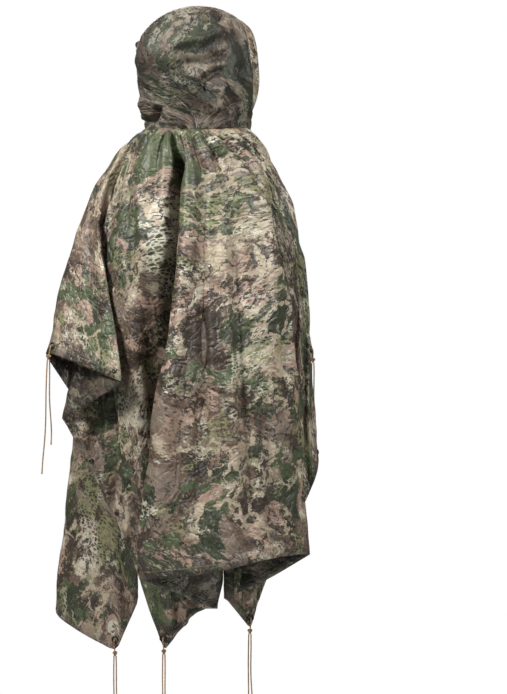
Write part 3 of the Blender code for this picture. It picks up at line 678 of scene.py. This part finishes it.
def pattern_places(points, cuts):
    """Places for the printed pattern, spread evenly between its pins round the cloth as it hangs."""
    pattern = cuts.copy()
    pins = [place * COLUMNS_A_FALL for place in PATTERN_PINS]
    for row in range(len(points)):
        for start, stop in zip(pins, pins[1:]):
            part = slice(start, stop + 1)
            hung = np.cumsum(np.linalg.norm(np.diff(points[row, part], axis=0), axis=1))
            flat = np.cumsum(np.linalg.norm(np.diff(cuts[row, part], axis=0), axis=1))
            even = np.concatenate([[0.0], hung / hung[-1] * flat[-1]])
            known = np.concatenate([[0.0], flat])
            for axis in (0, 1):
                pattern[row, part, axis] = np.interp(even, known, cuts[row, part, axis])
    return pattern


def ring_normals(points):
    """Outward normals of a closed ring of columns, the last column being the first again."""
    joined = points[:, :-1]
    along = np.roll(joined, -1, axis=1) - np.roll(joined, 1, axis=1)
    down = np.gradient(joined, axis=0)
    normals = unit(np.cross(down, along))
    return np.concatenate([normals, normals[:, :1]], axis=1)


def room_round(points):
    """How far each point is from the nearest part of the cloth that isn't its own neighbour."""
    coarse_rows = np.arange(0, points.shape[0], 5)
    coarse_columns = np.arange(0, points.shape[1] - 1, 3)
    some = points[np.ix_(coarse_rows, coarse_columns)]
    flat = some.reshape(-1, 3)
    column = np.tile(coarse_columns, len(coarse_rows))
    gap = np.full(len(flat), 1.0)
    ring = points.shape[1] - 1
    for index in range(len(flat)):
        apart = np.abs(column - column[index])
        apart = np.minimum(apart, ring - apart)
        others = np.linalg.norm(flat - flat[index], axis=1)
        far = others[apart > 1.2 * COLUMNS_A_FALL]
        gap[index] = far.min()
    gap = gap.reshape(some.shape[:2])
    gap = np.concatenate([gap, gap[:, :1]], axis=1)
    known_columns = np.concatenate([coarse_columns, [ring]])
    wide = np.array([np.interp(np.arange(ring + 1), known_columns, line) for line in gap])
    tall = np.array([np.interp(np.arange(points.shape[0]), coarse_rows, line) for line in wide.T])
    return tall.T


def crease_height(cuts, line, width, height):
    """A soft ridge or trough along a line on the cut, tapering to nothing at both ends."""
    line = np.array(line, dtype=float)
    best = np.full(cuts.shape[:2], 1e9)
    gone = np.zeros(cuts.shape[:2])
    lengths = np.linalg.norm(np.diff(line, axis=0), axis=1)
    total = lengths.sum()
    for index, (start, stop) in enumerate(zip(line, line[1:])):
        way = stop - start
        share = np.clip(((cuts - start) @ way) / max(way @ way, 1e-9), 0.0, 1.0)
        near = start + share[..., None] * way
        apart = np.linalg.norm(cuts - near, axis=-1)
        closer = apart < best
        best = np.where(closer, apart, best)
        gone = np.where(closer, (lengths[:index].sum() + share * lengths[index]) / total, gone)
    taper = ease(gone / 0.22) * ease((1 - gone) / 0.22)
    return height * bell(best, width, CREASE_STEEP) * taper


def ring_apart(place, centre):
    """How many falls apart two places in the ring are, the short way round."""
    apart = np.abs(place - centre)
    return np.minimum(apart, len(ROWS) - apart)


def crumple(cuts, scale, seed, octaves=2):
    """Soft unevenness, -1 to 1, that depends only on the place on the cut."""
    flat = cuts.reshape(-1, 2)
    values = [noise.fractal(Vector((u * scale, v * scale, seed)), 1.0, 2.0, octaves) for u, v in flat]
    return np.array(values).reshape(cuts.shape[:2])


def flute_height(points, cuts, places, share, clearance):
    """Flutes, which take up the cloth that is wider than the space it hangs in."""
    def width_across(grid):
        ring = grid[:, :-1]
        ahead, behind = np.roll(ring, -COLUMNS_A_FALL, 1), np.roll(ring, COLUMNS_A_FALL, 1)
        across = np.linalg.norm(ahead - behind, axis=-1)
        return np.concatenate([across, across[:, :1]], axis=1)

    wide_cut, wide_space = width_across(cuts), width_across(points)
    spare = np.clip(wide_cut / np.maximum(wide_space, 0.02) - 1.0, 0.0, 1.6)
    wave = wide_cut / 2 / FLUTES_A_FALL
    size = wave / (2 * pi) * 2 * np.sqrt(spare) * FLUTE_FULL
    size = np.minimum(size, np.minimum(FLUTE_ROOM * clearance, FLUTE_DEEPEST)) * ease((share - 0.07) / 0.35)
    place = places[None, :]
    wander = crumple(cuts, 2.1, 4.0) * 1.5
    turns = round(FLUTES_A_FALL * len(ROWS))
    swing = np.sin(2 * pi * turns * place / len(ROWS) + wander)
    swing += 0.35 * np.sin(2 * pi * (turns * 2 + 3) * place / len(ROWS) - wander * 1.7 + 1.0)
    uneven = 0.75 + 0.55 * crumple(cuts, 3.3, 9.0)
    known = np.arange(len(FLUTE_SHARES) + 1)
    return swing * size * uneven * np.interp(places, known, FLUTE_SHARES + FLUTE_SHARES[:1])[None, :]


def drape(points, cuts, places, shares, fittings):
    """The body's points with their flutes, creases and crumpling, which stop short of the fittings."""
    clearance = room_round(points)
    place, share = places[None, :], shares[:, None]
    height = flute_height(points, cuts, places, share, clearance)
    for centre, start, stop, half, tall in FALL_FOLDS:
        length = ease((share - start) / 0.16) * ease((stop - share) / 0.20)
        height += tall * bell(ring_apart(place, centre), half, FOLD_STEEP) * length
    for centre, stop, tall in NECK_GATHERS:
        gather = bell(ring_apart(place, centre), GATHER_HALF, FOLD_STEEP)
        height += GATHER_TALL * tall * gather * ease((stop - share) / stop * 1.4)
    for line, width, tall in CREASES:
        height += crease_height(cuts, line, width, tall)
    soft = np.minimum(1.0, clearance / 0.02)
    for scale, seed, layers, tall, full_at in CRUMPLES:
        height += crumple(cuts, scale, seed, layers) * tall * soft * ease(share / full_at)

    calm = np.ones(points.shape[:2])
    for row, column in fittings:
        apart = np.linalg.norm(points - points[row, column], axis=-1)
        calm *= ease((apart - CALM_NEAR) / CALM_FAR)
    height *= calm * ease(share / 0.03)
    height *= mix(1.0, 0.55, ease((share - 0.93) / 0.07))
    draped = points + ring_normals(points) * height[..., None]
    inward = unit(points[0] * np.array([-1.0, -1.0, 0.0]))
    draped[0] += inward * NECK_TURNED_IN + np.array([0.0, 0.0, NECK_TURNED_UP])
    return draped


def grid_piece(name, points, cuts, material_list, thickness, closed=False):
    """A sheet of cloth on a grid of points, its cut's places as its UV map, with its wall's thickness."""
    tall, wide = points.shape[:2]
    mesh = bmesh.new()
    bmesh.ops.create_grid(mesh, x_segments=wide - 1, y_segments=tall - 1, size=0.5)
    pattern = mesh.loops.layers.uv.new("cut")
    spots = {}
    for vert in mesh.verts:
        column = round((vert.co.x + 0.5) * (wide - 1))
        row = round((0.5 - vert.co.y) * (tall - 1))
        spots[vert] = (row, column)
    for face in mesh.faces:
        for loop in face.loops:
            loop[pattern].uv = cuts[spots[loop.vert]]
        face.smooth = True
    for vert, spot in spots.items():
        vert.co = points[spot]
    if closed:
        bmesh.ops.remove_doubles(mesh, verts=mesh.verts, dist=1e-6)
    return finished(name, mesh, material_list, thickness)


def finished(name, mesh, material_list, thickness=0.0):
    """The mesh as an object. With a thickness it is walled half to each side, the inner face last."""
    data = bpy.data.meshes.new(name)
    mesh.to_mesh(data)
    mesh.free()
    for each in material_list:
        data.materials.append(each)
    data.shade_smooth()
    piece = bpy.data.objects.new(name, data)
    bpy.context.collection.objects.link(piece)
    if thickness:
        wall = piece.modifiers.new("wall", "SOLIDIFY")
        wall.thickness = thickness
        wall.offset = 0.0
        wall.use_even_offset = False
        wall.material_offset = len(material_list) - 1
        applied = bpy.data.meshes.new_from_object(piece.evaluated_get(bpy.context.evaluated_depsgraph_get()))
        piece.modifiers.clear()
        piece.data = applied
        applied.name = name
    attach(piece, "root")
    return piece


def seat_on(points, normals, column_place, row_place):
    """A frame on the outer face at a place on the grid."""
    column, row = int(column_place), int(row_place)
    part_c, part_r = column_place - column, row_place - row
    row, part_r = (row - 1, 1.0) if row >= points.shape[0] - 1 else (row, part_r)

    def between(grid):
        top = mix(grid[row, column], grid[row, column + 1], part_c)
        low = mix(grid[row + 1, column], grid[row + 1, column + 1], part_c)
        return Vector(mix(top, low, part_r))

    normal = between(normals).normalized()
    along = Vector(points[row, column + 1] - points[row, column])
    along = (along - normal * along.dot(normal)).normalized()
    seat = Matrix((along, normal.cross(along), normal)).transposed().to_4x4()
    seat.translation = between(points) + normal * (CLOTH / 2)
    return seat


# ---------------------------------------------------------------- the hood
def turned_with_head(height):
    """The turn of the hood at this height, none at the neck and all of it above the collar."""
    turn = -HOOD_TURN * float(ease((height - HOOD_TURN_FROM) / (HOOD_TURN_TO - HOOD_TURN_FROM)))
    return Matrix.Rotation(turn, 3, "Z")


def hood_point(side, back, up):
    """A place on one half of the hood: back from rim to seam, up from neck to crown, both shares."""
    rim, seam = through(HOOD_RIM, up), through(HOOD_BACK, up)
    crown = through(HOOD_CROWN, 1 - back)
    deep = max(-1.0, min(1.0, HOOD_RIM[0][0] / NECK_DEEP))
    turn = mix(atan2(deep, sqrt(1 - deep * deep)), pi / 2, back)
    neck = Vector(neck_line(cos(turn), sin(turn)))
    corner_low = mix(Vector(HOOD_RIM[0]), Vector(HOOD_BACK[0]), back)
    corner_high = mix(Vector(HOOD_RIM[-1]), Vector(HOOD_BACK[-1]), back)
    flat = (mix(rim, seam, back) + mix(Vector((neck.y, neck.z)), crown, up)
            - mix(corner_low, corner_high, up))
    swell = (1 - back ** 2.6) ** 0.5 * (1 - up ** 3.2) ** 0.5
    full = mix(RIM_WIDE, HOOD_WIDE, float(ease(back * 2.5))) * swell
    wide = mix(neck.x, full, float(ease(up * 3.5))) + SEAM_GAP * 0.6
    place = Vector((side * wide, flat.x, flat.y + CLOTH / 2 + SEAM_GAP))
    return turned_with_head(place.z) @ place


HOOD_PATTERN = 2.27             # where on the printed roll the hood halves begin
HOOD_CREASE_TALL = 2.8          # what the heights below are times
# Creases in the hood: side, points as back and up shares, width in metres, height.
HOOD_CREASES = (
    (1, ((0.35, 0.10), (0.60, 0.28), (0.80, 0.45)), 0.009, -0.006),
    (1, ((0.42, 0.06), (0.66, 0.22), (0.90, 0.40)), 0.010, 0.005),
    (1, ((0.50, 0.03), (0.75, 0.16), (0.97, 0.31)), 0.008, -0.006),
    (1, ((0.30, 0.30), (0.55, 0.46), (0.78, 0.66)), 0.012, -0.005),
    (1, ((0.25, 0.55), (0.50, 0.66), (0.80, 0.80)), 0.012, 0.005),
    (1, ((0.40, 0.72), (0.65, 0.80), (0.85, 0.88)), 0.010, -0.005),
    (1, ((0.70, 0.55), (0.85, 0.70), (0.92, 0.86)), 0.010, -0.004),
    (-1, ((0.95, 0.12), (0.75, 0.22), (0.52, 0.30)), 0.010, -0.006),
    (-1, ((0.96, 0.20), (0.76, 0.32), (0.50, 0.44)), 0.011, 0.005),
    (-1, ((0.95, 0.34), (0.72, 0.44), (0.42, 0.52)), 0.010, -0.006),
    (-1, ((0.90, 0.60), (0.66, 0.56), (0.36, 0.62)), 0.012, -0.005),
    (-1, ((0.92, 0.74), (0.62, 0.72), (0.34, 0.80)), 0.011, 0.005),
    (-1, ((0.30, 0.10), (0.26, 0.36), (0.30, 0.60)), 0.009, -0.005),
    (-1, ((0.20, 0.30), (0.18, 0.56), (0.22, 0.84)), 0.009, 0.004),
    (-1, ((0.80, 0.88), (0.50, 0.86), (0.28, 0.90)), 0.009, -0.004),
)


def hood_grid(side, start, stop, columns):
    """The points of part of a half of the hood, from the rim back, the rows from the crown down."""
    backs = np.linspace(start, stop, columns + 1)
    # Closer towards the back seam and the crown, where the half curves in.
    if stop == 1.0:
        backs = start + (stop - start) * np.sin((backs - start) / (stop - start) * pi / 2)
    ups = np.sin(np.linspace(0.0, 1.0, HOOD_ROWS + 1)[::-1] * pi / 2)
    points = np.array([[hood_point(side, back, up) for back in backs] for up in ups])
    across = np.linalg.norm(np.diff(points, axis=1), axis=2)
    gone = np.concatenate([np.zeros((len(ups), 1)), np.cumsum(across, axis=1)], axis=1)
    down = np.linalg.norm(np.diff(points, axis=0), axis=2)
    sunk = np.concatenate([np.zeros((1, len(backs))), np.cumsum(down, axis=0)], axis=0)
    along = np.broadcast_to(gone[len(ups) // 2], gone.shape)
    cuts = np.stack([side * (HOOD_PATTERN + start * HOOD_SPAN + along),
                     -sunk[:, -1:] * 0.5 - sunk * 0.5], axis=-1)
    return points, cuts, np.stack(np.meshgrid(backs, ups), axis=-1)


def raised(points, cuts, height, side):
    """The grid pushed out by its heights, its columns in the order that keeps its face outside."""
    down, along = np.gradient(points, axis=0), np.gradient(points, axis=1)
    points = points + unit(np.cross(along, down)) * -side * height[..., None]
    return (points[:, ::-1], cuts[:, ::-1]) if side > 0 else (points, cuts)


def hood_half(side, name, cloth, painted_shade_lining):
    """One half of the hood, gathered at the neck, creased, and flat along its seams."""
    points, cuts, shares = hood_grid(side, RIM_SHARE, 1.0, HOOD_COLUMNS)
    back, up = shares[..., 0], shares[..., 1]
    height = crumple(cuts, 11.0, 3.0 + side, 3) * 0.0060 + crumple(cuts, 30.0, 8.0 + side, 2) * 0.0022
    turn = np.arctan2(points[..., 1], points[..., 0])
    gathers = np.sin(turn * 26.0 + crumple(cuts, 7.0, 12.0) * 2.0)
    height += gathers * 0.0030 * ease(up / 0.05) * ease((0.30 - up) / 0.24)
    for crease_side, line, width, tall in HOOD_CREASES:
        if crease_side == side:
            height += crease_height(shares * HOOD_SPAN, np.array(line) * HOOD_SPAN, width,
                                    tall * HOOD_CREASE_TALL)
    seam = ease((1 - back) / 0.10) * ease((1 - up) / 0.08) * ease((back - RIM_SHARE) / 0.05) * ease(up / 0.03)
    # The hood's lining is its inner face, the print darkened as painted shade.
    return grid_piece(name, *raised(points, cuts, height * seam, side), [cloth, painted_shade_lining], CLOTH)


def casing_half(side, name, cloth):
    """The casing round the face opening, puckered along its stitches."""
    points, cuts, shares = hood_grid(side, 0.0, RIM_SHARE - RIM_GAP_SHARE, RIM_COLUMNS)
    across = shares[..., 0] / RIM_SHARE
    round_off = np.sin(pi * np.clip(across, 0, 1)) * 0.0022
    pucker = crumple(cuts, 60.0, 5.0, 2) * 0.0012 + crumple(cuts, 18.0, 15.0, 2) * 0.0012
    height = (round_off + pucker) * ease(across / 0.2) * ease((1 - across) / 0.2)
    return grid_piece(name, *raised(points, cuts, height, side), [cloth, cloth], RIM_CLOTH)


# ---------------------------------------------------------------- fittings and cords
def turned(name, profile, closed, steps, seat, finish):
    """A fitting turned from a profile of distances from its axis and heights, seated on the cloth."""
    mesh = bmesh.new()
    corners = [mesh.verts.new((across, 0.0, high)) for across, high in profile]
    nexts = corners[1:] + corners[:1] if closed else corners[1:]
    edges = [mesh.edges.new(pair) for pair in zip(corners, nexts)]
    bmesh.ops.spin(mesh, geom=corners + edges, cent=(0, 0, 0), axis=(0, 0, 1), angle=2 * pi,
                   steps=steps, use_merge=True)
    if not closed:              # the ends of an open profile lie on the axis
        bmesh.ops.remove_doubles(mesh, verts=mesh.verts, dist=1e-6)
    bmesh.ops.recalc_face_normals(mesh, faces=mesh.faces)
    bmesh.ops.transform(mesh, matrix=seat, verts=mesh.verts)
    piece = finished("brass_" + name, mesh, [finish])
    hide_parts(name)
    return piece


def eyelet(name, seat, finish):
    """A two-part eyelet: a rolled ring over a flange on the outer face."""
    outer, inner, high = EYELET_OUTER, EYELET_INNER, EYELET_HIGH
    middle = (outer + inner) / 2
    profile = [(outer, 0.0), (outer, 0.0004), (outer - 0.0004, 0.0007)]
    for turn in range(9):
        angle = pi * turn / 8
        profile.append((middle - 0.0004 + 0.0013 * cos(angle), 0.0005 + (high - 0.0005) * sin(angle)))
    profile += [(inner, 0.0002), (inner, -CLOTH - 0.0004), (middle, -CLOTH - 0.0008),
                (outer - 0.0008, -CLOTH - 0.0005), (outer - 0.0008, -CLOTH),
                (inner + 0.0006, -CLOTH), (inner + 0.0006, 0.0)]
    piece = turned(name, profile, True, 48, seat, finish)
    return piece


def snap(name, seat, finish):
    """A press stud: a domed cap with a dimple and a turned-down rim."""
    shares = ((0.0, 0.62), (0.20, 0.66), (0.34, 0.92), (0.52, 1.0), (0.74, 0.92), (0.90, 0.66),
              (1.0, 0.30), (1.0, 0.08), (0.96, 0.0), (0.0, 0.0))
    profile = [(SNAP_RADIUS * across, SNAP_HIGH * high) for across, high in shares]
    piece = turned(name, profile, False, 40, seat, finish)
    return piece


def cord_line(name, route, finish, count, radii=None):
    """A round cord along the smooth curve through its route."""
    curve = bpy.data.curves.new(name, "CURVE")
    curve.dimensions = "3D"
    curve.bevel_depth = CORD / 2
    curve.bevel_resolution = 4
    curve.use_fill_caps = True
    spline = curve.splines.new("POLY")
    spline.points.add(count)
    for index in range(count + 1):
        spline.points[index].co = (*through(route, index / count), 1.0)
        spline.points[index].radius = 1.0 if radii is None else radii(index / count)
    spline.use_smooth = True
    curve.materials.append(finish)
    piece = bpy.data.objects.new(name, curve)
    bpy.context.collection.objects.link(piece)
    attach(piece, "root")
    return piece


def overhand_knot(name, centre, finish):
    """An overhand knot drawn tight: the cord passes three times round through itself."""
    route = []
    for step in range(61):
        turn = 2 * pi * step / 60
        x = sin(turn) + 2 * sin(2 * turn)
        y = cos(turn) - 2 * cos(2 * turn)
        z = -sin(3 * turn) * 1.15
        route.append((centre.x + x * KNOT_LOOP, centre.y + z * KNOT_LOOP, centre.z + y * KNOT_LOOP * 1.05))
    piece = cord_line("knot_" + name, route, finish, 72)
    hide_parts("cord_knot_" + name)
    return piece


def cord_set(name, drift_x, drift_y, apart, seat, finish):
    """The cord tied in one eyelet: a loop over the edge, the knot and two free tails."""
    low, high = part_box("cord_knot_" + name)
    knot = (low + high) / 2
    low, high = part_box("cord_loop_" + name)
    over_edge = Vector(low + high) / 2
    normal = seat.col[2].to_3d()
    inside = seat.translation + normal * (EYELET_HIGH * 0.4) - normal * 0.003
    hole = seat.translation + normal * (EYELET_HIGH + CORD / 2)
    knot_top = knot + (hole - knot).normalized() * (KNOT_RADIUS * 0.5)
    route = (inside, hole, mix(hole, over_edge, 0.5) + normal * 0.0006, over_edge, knot_top)
    loop = cord_line("loop_" + name, [tuple(spot) for spot in route], finish, 28)
    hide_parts("cord_loop_" + name)
    overhand_knot(name, knot, finish)
    for side, word, length in zip((-1, 1), ("short", "long"), TAILS):
        start = knot + Vector((side * 0.0024, 0.0, -KNOT_RADIUS * 0.9 - 0.0003))
        route = []
        for step in range(9):
            share = step / 8
            sway = 0.0025 * sin(pi * 2.2 * share + side)
            route.append((start.x + drift_x * share + side * apart / 2 * share + sway * share,
                          start.y + drift_y * share + sway * 0.5 * share, start.z - length * share))
        tail_name = "tail_%s_%s" % (name, word)
        tail = cord_line(tail_name, route, finish, 36,
                         lambda share: 1.0 + TAIL_END_SWELL * float(ease((share - 0.975) / 0.02)))
        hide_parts("cord_" + tail_name)


# ---------------------------------------------------------------- the whole garment
room()
camo = camo_cloth("camo_coated_ripstop")
# Painted shade: the inner faces of the body and hood are the print darkened to 0.42 of its colour.
inner = camo_cloth("camo_inner_face_painted_shade", 0.42, sheen=0.01, rough=0.58)
hood_camo = camo_cloth("camo_hood", hemmed=False)
hood_inner = camo_cloth("camo_hood_inner_face_painted_shade", 0.42, False, 0.01, 0.58)
casing_camo = camo_cloth("camo_casing", 0.94, False)
brass = metal("blackened_brass", (0.030, 0.028, 0.024), 0.42, (0.16, 0.13, 0.09))
snap_brass = metal("blackened_snap_caps", (0.045, 0.042, 0.036), 0.38, (0.20, 0.17, 0.12))
tan = braided_cord("tan_braided_cord", (0.400, 0.245, 0.110), (0.150, 0.080, 0.030))

SHARES = np.concatenate([np.linspace(0.0, SHOULDER_SHARE, SHOULDER_ROWS + 1)[:-1],
                         np.linspace(SHOULDER_SHARE, 1.0, ROWS_DOWN - SHOULDER_ROWS + 1)])
PLACES = np.arange(len(ROWS) * COLUMNS_A_FALL + 1) / COLUMNS_A_FALL


def edge_place(u_side, v):
    """Where a height on one of the cut's two side edges comes in the ring of falls."""
    for index, here in enumerate(ROWS):
        there = ROWS[(index + 1) % len(ROWS)]
        if here["u"] == there["u"] == u_side:
            low, high = sorted((here["v"], there["v"]))
            if low <= v <= high:
                return index + (v - here["v"]) / (there["v"] - here["v"])
    return 0.0


def grid_spot(place):
    """The grid's column and row, with their fractions, of a fitting at this place in the ring."""
    row = ROWS[round(place) % len(ROWS)]
    share = 1 - FITTING_INSET / hypot(row["u"], row["v"])
    return place * COLUMNS_A_FALL, float(np.interp(share, SHARES, np.arange(len(SHARES))))


fitting_places = {"eyelet_" + values[0]: values[1] for values in CORDS}
fitting_places["eyelet_front_right"] = FRONT_RIGHT_EYELET
for u_side, side_name in ((HALF_WIDTH, "left"), (-HALF_WIDTH, "right")):
    for way, way_name in ((1, "back"), (-1, "front")):
        for number in range(1, SNAPS_A_HALF + 1):
            fitting_places["snap_%s_%s_%d" % (side_name, way_name, number)] = edge_place(
                u_side, way * HALF_LENGTH / (SNAPS_A_HALF + 1) * number)
spots = {name: grid_spot(place) for name, place in fitting_places.items()}

bare_points, cuts = body_points(PLACES, SHARES)
calm_spots = [(min(round(row), len(SHARES) - 1), round(column) % (len(PLACES) - 1))
              for column, row in spots.values()]
body_grid = drape(bare_points, cuts, PLACES, SHARES, calm_spots)
pattern = pattern_places(body_grid, cuts)
body = grid_piece("body_cloth", body_grid, pattern, [camo, inner], CLOTH, closed=True)
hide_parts("body_back", "body_front")

body_normals = ring_normals(body_grid)
seats = {name: seat_on(body_grid, body_normals, column, row) for name, (column, row) in spots.items()}
on_cloth = [eyelet(name, seat, brass) if name.startswith("eyelet") else snap(name, seat, snap_brass)
            for name, seat in seats.items()]
for name, place, drift_x, drift_y, apart in CORDS:
    cord_set(name, drift_x, drift_y, apart, seats["eyelet_" + name], tan)

for side, word in ((1, "left"), (-1, "right")):
    half = hood_half(side, "hood_cloth_" + word, hood_camo, hood_inner)
    casing = casing_half(side, "casing_cloth_" + word, casing_camo)
    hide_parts("hood_" + word)
    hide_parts("rim_casing_" + word)
